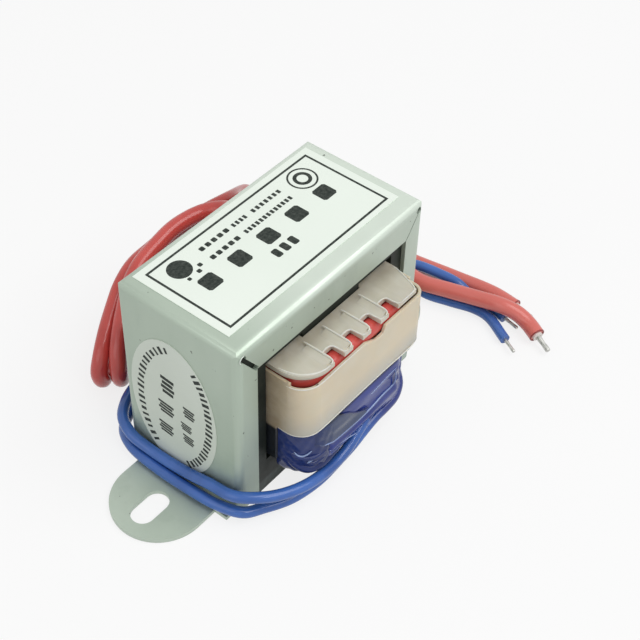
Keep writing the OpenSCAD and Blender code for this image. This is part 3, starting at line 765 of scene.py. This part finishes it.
def finger_rim_highlights():
    """Ridges beside the slots of the front flange, rims round them and round both corners, pale
    as painted highlights.
    """
    top, ridge_top, front = 27.0, 27.4, -17.26
    runs = []
    for x in (-6.3, -2.1, 2.1, 6.3):
        ridge = [(x - 1.22, y, ridge_top) for y in (-11.7, -13.5, -15.5)]
        ridge += [(x - 1.24, -16.6, 27.38), (x - 1.4, -17.1, 27.3), (x - 1.9, front, 27.15)]
        rim = [(x - 1.1, -15.9, 27.15), (x - 1.02, -15.0, 27.1), (x - 0.5, -14.75, 27.03),
               (x + 0.5, -14.75, top), (x + 1.05, -15.1, top), (x + 1.2, -16.2, top),
               (x + 1.4, -17.05, top), (x + 1.9, -17.24, top)]
        runs += [(ridge, 0.17), (rim, 0.14)]
    left = [(-8.3, front, 27.1), (-9.4, -17.15, top), (-11.0, -16.5, top), (-12.4, -15.2, top),
            (-13.2, -13.4, top), (-13.42, -12.0, top)]
    right = [(8.2, front, top), (11.2, -17.24, top), (11.75, -17.05, top), (12.6, -15.0, top),
             (13.4, -12.4, top), (13.45, -11.7, top)]
    runs += [(left, 0.15), (right, 0.13)]
    welts("finger_rim_highlights", runs, 0.3, 10, CREAM_HIGHLIGHT)


def cover_edge_highlights():
    """Pale welts along the bottom of the cover and round the low part of its rim: painted
    highlights.
    """
    half_x, front, bend, bottom, rim_z = 14.2, -17.6, 3.5, 15.42, 25.45
    bend_x, bend_y = bend - half_x, front + bend
    left = [(-half_x, -12.6), (-half_x, bend_y)]
    left += [(bend_x + bend * math.cos(a), bend_y + bend * math.sin(a))
             for a in map(math.radians, (200, 225, 250))]
    left.append((bend_x, front))
    low = left + [(-4, front), (4, front), (12.2, front), (13.61, -17.02), (half_x, -15.6),
                  (half_x, -13)]
    rim = left[1:] + [(-7, front), (-4, front), (-1.4, front)]
    welts("cover_edge_highlights", [([(x, y, bottom) for x, y in low], 0.1),
                          ([(x, y + 0.06, rim_z) for x, y in rim], 0.11)],
          0.4, 8, CREAM_HIGHLIGHT)


finger_rim_highlights()
cover_edge_highlights()

# ------------------------------------------------------------------ leads

BLUE_D = 1.8
RED_D = 2.8
LEAD_SIDES = 18
ROUTE_STEP = 0.6
# Length of the bare strands, and the share of it where their end begins to round
TIP_LENGTH = 3.2
TIP_ROUNDS_FROM = 0.93
TIP_SIDES = 24
ROUTES = {
    "blue_lead_a": [
        (1.5, -16.955, 6.94), (-1.2, -17.205, 5.39), (-4.4, -17.4, 4), (-9, -17.5, 4),
        (-13.5, -17.1, 4.7), (-17.4, -15.7, 5.3), (-20, -13.9, 5.7), (-22.2, -11, 5.8),
        (-22.4, -6, 5), (-22.3, -0.5, 3.6), (-22.4, 6, 3.4), (-22.5, 9.9, 4.2),
        (-21.4, 12.7, 4.9), (-18.8, 14.7, 4.9), (-15, 16.4, 4.1), (-10.5, 17.7, 2.6),
        (-5, 18.3, 1.2), (2, 18.4, 0.9), (12, 18.2, 0.9), (22, 16.6, 0.9), (30.5, 12.2, 0.9),
        (35.7, 7.2, 1), (37.2, 2.5, 2.3), (37.9, -1, 3.1), (38.6, -4.8, 3), (39, -8.4, 2.7),
        (39.1, -11.6, 1.4), (39.5, -15, 0.9), (38.8, -18.6, 0.9),
    ],
    "blue_lead_b": [
        (12.3017, -14.555, 7.04), (11.4017, -15.805, 5.69), (9.3, -16.7, 5), (6.8, -16.9, 4.8),
        (4, -16.9, 4.7), (1, -16.8, 3.7), (-1.4, -16.8, 2.9), (-4.6, -16.7, 2.2),
        (-9.5, -16.6, 1.7), (-14.5, -15.5, 1.4), (-18.6, -13.6, 1.6), (-21.6, -12.1, 2.2),
        (-23, -8.5, 2.3), (-23.4, -3, 2), (-23.4, 4, 1.7), (-22.9, 9.6, 1.8), (-20.7, 13.5, 1.3),
        (-16.5, 15.6, 0.9), (-10, 16.1, 0.9), (0, 16.1, 0.9), (10, 15.9, 0.9), (19.5, 14.4, 0.9),
        (27.5, 11.4, 0.9), (33.2, 7, 0.9), (35.8, 1.2, 0.9), (34.9, -4.6, 0.9), (36, -9, 0.9),
        (37.3, -13.4, 0.9), (37.2, -16.3, 0.9), (34.6, -21.5, 0.9),
    ],
    "red_lead_a": [
        (6, 15.605, 24.75), (8, 15.605, 24.75), (12.8, 16.9, 24.3), (16.2, 20, 22.2),
        (17, 23.8, 18.4), (14, 27, 15.7), (8.5, 28.6, 14.6), (2.5, 28.5, 14.4),
        (-2.4, 28.2, 14.1), (-5.8, 27.6, 12.7), (-9, 26.4, 10.9), (-12.7, 24.5, 9.4),
        (-15.6, 22.9, 7.6), (-17, 22.4, 4.8), (-16.1, 22.8, 2.1), (-13, 24.8, 1.4),
        (-8.5, 27.6, 1.4), (-2, 30, 1.4), (8, 31.4, 1.4), (18, 29.6, 1.4), (27.5, 24.4, 1.4),
        (34.5, 16.8, 1.4), (38.4, 8.5, 1.4), (39.8, 0, 1.4), (41, -7, 1.4), (42, -14, 1.4),
        (41.7, -18.8, 1.4),
    ],
    "red_lead_b": [
        (2, 15.605, 21.93), (4.5, 15.605, 21.93), (9.2, 16.2, 21.7), (12.6, 18.9, 20.8),
        (13.8, 22.2, 19.1), (11.6, 25.4, 18), (6.5, 26.6, 17.7), (1.5, 26.5, 16.9),
        (-2.9, 26, 16), (-6.3, 25, 14.6), (-9, 23.6, 13), (-12, 21.9, 11), (-14.3, 20.4, 8.8),
        (-15.4, 19.5, 6), (-14.6, 20.1, 2.9), (-11.6, 22.3, 1.4), (-7.5, 24.4, 1.4),
        (-1, 26, 1.4), (7, 26.4, 1.4), (15.5, 25, 1.4), (23, 21.4, 1.6), (28.2, 16.9, 2.9),
        (31.6, 11.8, 3.7), (33.9, 6.4, 3.4), (35, 1, 3.3), (34.6, -3.7, 3.3), (36, -8.5, 3.3),
        (37.6, -13.5, 3.3), (38.6, -17.6, 3.5), (39.3, -20.6, 2.9), (39.2, -23, 2.1),
        (38.3, -25.4, 1.6),
    ],
}


def strand_tip(name, path, start, radius, node):
    """Twisted and tinned strands that carry on start millimetres past the end of a lead."""
    ahead = (path[-1] - path[-2]).normalized()
    first = path[-1] + ahead * start
    line = [first + ahead * (TIP_LENGTH * k / 40) for k in range(41)]

    def lobes(share, angle):
        grooves = 0.88 + 0.12 * abs(math.cos(3 * angle + share * TIP_LENGTH * 2.2))
        past = max(0, (share - TIP_ROUNDS_FROM) / (1 - TIP_ROUNDS_FROM))
        return grooves * math.sqrt(max(0.02, 1 - past ** 2)) * (1 + 0.05 * math.sin(share * 9))

    return dress(tube(name, line, radius, TIP_SIDES, lobes), TIN, node)


def cut_end(name, path, radius):
    """The white inner layer at the end of a red lead, and the darker cut edge round it."""
    end, side, up = frames(path)[-1]
    ahead = (path[-1] - path[-2]).normalized()
    liner_path = [end - ahead * 0.3, end, end + ahead * 0.4]
    liner = tube(name + "_liner", liner_path, 0.9, TIP_SIDES)
    inset = 0.12
    circle = [end + (side * math.cos(a) + up * math.sin(a)) * (radius - inset)
              for a in steps(0, FULL_TURN, 16)]
    cut = tube(name + "_cut", catmull(circle, 0.3), 0.14, 10)
    return [dress(liner, LINER, "red_liners"), dress(cut, RED_CUT)]


def make_lead(name, diameter, finish, slot, strands, tip_start, tip_radius):
    """A lead along its route with its bare end; strands is the CAD node at its tip."""
    path = catmull(ROUTES[name], ROUTE_STEP)
    lead = dress(tube(name + "_tube", path, diameter / 2, LEAD_SIDES), finish, name)
    ends = [strand_tip(strands + "_twist", path, tip_start, tip_radius, strands)]
    if slot == "red_pvc":
        ends += cut_end(name, path, diameter / 2)


make_lead("blue_lead_a", BLUE_D, BLUE, "blue_pvc", "blue_strands_a", 0, 0.3)
make_lead("blue_lead_b", BLUE_D, BLUE, "blue_pvc", "blue_strands_b", 0, 0.3)
make_lead("red_lead_a", RED_D, RED, "red_pvc", "red_strands_a", 0.4, 0.45)
make_lead("red_lead_b", RED_D, RED, "red_pvc", "red_strands_b", 0.4, 0.45)

# ------------------------------------------------------------------ stage and light

SOFT_LIGHT = 0.5
AIM = Vector((0, 0, 0.015))


def seen_share(tree):
    """1 for the rays that see the backdrop: camera, glossy and transmission rays."""
    path = tree.nodes.new("ShaderNodeLightPath")
    share = path.outputs["Is Camera Ray"]
    for ray in ("Is Glossy Ray", "Is Transmission Ray"):
        share = calc(tree, "MAXIMUM", share, path.outputs[ray])
    return share


def blend(tree, share, a, b, output):
    """Shader a gives way to b by a share, into a new output node."""
    mix = tree.nodes.new("ShaderNodeMixShader")
    for source, socket in zip((share, a, b), mix.inputs):
        tree.links.new(source, socket)
    out = tree.nodes.new(output)
    tree.links.new(mix.outputs[0], out.inputs["Surface"])


def floor_finish():
    """Matt white under the light; the rays that see it get mostly plain white.

    That share rises from 0.8 near the part to all of it, 0.6 m out.
    """
    mat = bpy.data.materials.new("floor_white")
    mat.use_nodes = True
    tree = mat.node_tree
    tree.nodes.clear()
    matt = tree.nodes.new("ShaderNodeBsdfDiffuse")
    matt.inputs["Color"].default_value = (0.8, 0.8, 0.8, 1)
    white = tree.nodes.new("ShaderNodeEmission")
    spot = tree.nodes.new("ShaderNodeTexCoord")
    reach = tree.nodes.new("ShaderNodeVectorMath")
    reach.operation = "LENGTH"
    tree.links.new(spot.outputs["Object"], reach.inputs[0])
    fade = tree.nodes.new("ShaderNodeMapRange")
    for key, value in (("From Min", 0.15), ("From Max", 0.6), ("To Min", 0.8), ("To Max", 1)):
        fade.inputs[key].default_value = value
    tree.links.new(reach.outputs["Value"], fade.inputs["Value"])
    share = calc(tree, "MULTIPLY", seen_share(tree), fade.outputs["Result"])
    blend(tree, share, matt.outputs[0], white.outputs[0], "ShaderNodeOutputMaterial")
    return mat


def build_floor():
    bpy.ops.mesh.primitive_plane_add(size=3, location=(0, 0, -0.0002))
    floor = bpy.context.object
    floor.name = "floor"
    floor.data.materials.append(floor_finish())


def build_world():
    """White where it is seen, and a softer light on everything."""
    world = bpy.data.worlds.new("studio")
    scene.world = world
    world.use_nodes = True
    tree = world.node_tree
    tree.nodes.clear()
    shades = []
    for strength in (SOFT_LIGHT, 1.0):
        shade = tree.nodes.new("ShaderNodeBackground")
        shade.inputs["Color"].default_value = (1, 1, 1, 1)
        shade.inputs["Strength"].default_value = strength
        shades.append(shade.outputs[0])
    blend(tree, seen_share(tree), *shades, "ShaderNodeOutputWorld")


def area_light(name, place, size, watts):
    light = bpy.data.lights.new(name, "AREA")
    light.shape = "SQUARE"
    light.size = size
    light.energy = watts
    obj = bpy.data.objects.new(name, light)
    scene.collection.objects.link(obj)
    obj.location = place
    obj.rotation_euler = (AIM - Vector(place)).to_track_quat("-Z", "Y").to_euler()


build_floor()
build_world()
area_light("key", (0.12, -0.32, 0.58), 0.5, 2.4)
area_light("glint", (-0.12, -0.42, 0.42), 0.05, 0.2)
area_light("fill", (-0.5, 0.05, 0.35), 0.4, 0.45)
scene.view_settings.view_transform = "Standard"
